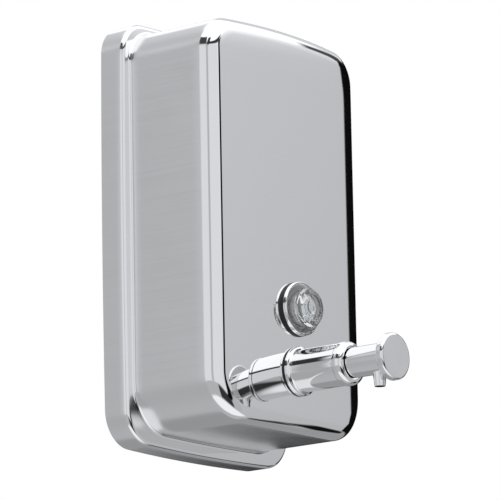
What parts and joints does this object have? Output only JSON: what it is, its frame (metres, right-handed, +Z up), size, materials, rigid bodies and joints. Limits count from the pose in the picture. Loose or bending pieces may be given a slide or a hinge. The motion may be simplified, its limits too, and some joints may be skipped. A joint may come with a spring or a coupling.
{
  "type": "wall soap dispenser",
  "caption": "Wall-hung stainless soap tank with a stepped rear flange, bowed polished front, round sight glass, push valve with a small spout, and a locking filler lid on top.",
  "frame": {"origin": "centre of the four wall screws, on the wall plane", "axes": "+Y points into the wall, -Y out of the front, +X right facing the front, +Z up"},
  "size_m": [0.1238, 0.1267, 0.2102],
  "materials": {
    "stainless_shell": "drawn stainless: mirror-polished front, finely brushed sides",
    "stainless_lid": "polished stainless",
    "steel_plate": "mill-finish stainless sheet",
    "steel_fastener": "bright steel",
    "chrome_lock": "chromed zinc",
    "black_rubber": "matt black rubber",
    "silicone": "grey silicone",
    "clear_lens": "clear moulded plastic",
    "white_plastic": "white moulded acetal",
    "chrome_valve": "bright chrome on brass",
    "brass_nut": "bare brass",
    "spring_wire": "stainless wire and balls"
  },
  "bodies": {
    "dispenser": {"tank_shell": "stainless_shell", "back_plate": "steel_plate", "wall_bracket": "steel_plate", "upper_hanger_rail": "steel_plate", "lower_hanger_rail": "steel_plate", "retaining_screw": "steel_fastener", "filler_frame": "stainless_lid", "hinge_pin": "steel_fastener", "sight_gasket": "black_rubber", "sight_lens": "clear_lens", "sight_washer": "black_rubber", "sight_nut": "white_plastic", "valve_gasket": "black_rubber", "valve_body": "chrome_valve", "stem_bush": "white_plastic", "valve_collar": "chrome_valve", "valve_washer": "black_rubber", "valve_nut": "brass_nut", "inlet_elbow": "white_plastic", "ball_stop": "steel_fastener", "suction_tube": "white_plastic", "return_spring": "spring_wire"},
    "lid": {"filler_lid": "stainless_lid", "lid_gasket": "silicone", "lock_barrel": "chrome_lock", "lock_nut": "chrome_lock"},
    "lock": {"lock_plug": "chrome_lock", "lock_cam": "steel_plate", "cam_screw": "steel_fastener"},
    "plunger": {"plunger_stem": "chrome_valve", "push_button": "chrome_valve", "spout_nozzle": "chrome_valve", "piston": "white_plastic", "piston_seal": "black_rubber", "outlet_spring": "spring_wire"},
    "outlet_ball": {"outlet_ball": "spring_wire"},
    "inlet_ball": {"inlet_ball": "spring_wire"}
  },
  "joints": [
    {"name": "press", "type": "slide", "parent": "dispenser", "child": "plunger", "axis": [0, 1, 0], "range_m": [0, 0.0095], "stiffness_N_per_m": 400, "springref_m": -0.01, "deforming": ["return_spring"]},
    {"name": "lid_hinge", "type": "hinge", "parent": "dispenser", "child": "lid", "pos_m": [0, -0.021, 0.1029], "axis": [-1, 0, 0], "range_deg": [0, 105]},
    {"name": "lock_turn", "type": "hinge", "parent": "lid", "child": "lock", "pos_m": [0, -0.038, 0.0953], "axis": [0, 0, -1], "range_deg": [0, 90]},
    {"name": "outlet_lift", "type": "slide", "parent": "plunger", "child": "outlet_ball", "axis": [0, -1, 0], "range_m": [0, 0.0012], "stiffness_N_per_m": 60, "springref_m": -0.002, "deforming": ["outlet_spring"]},
    {"name": "inlet_lift", "type": "slide", "parent": "dispenser", "child": "inlet_ball", "axis": [0, 0, 1], "range_m": [0, 0.0018]}
  ]
}
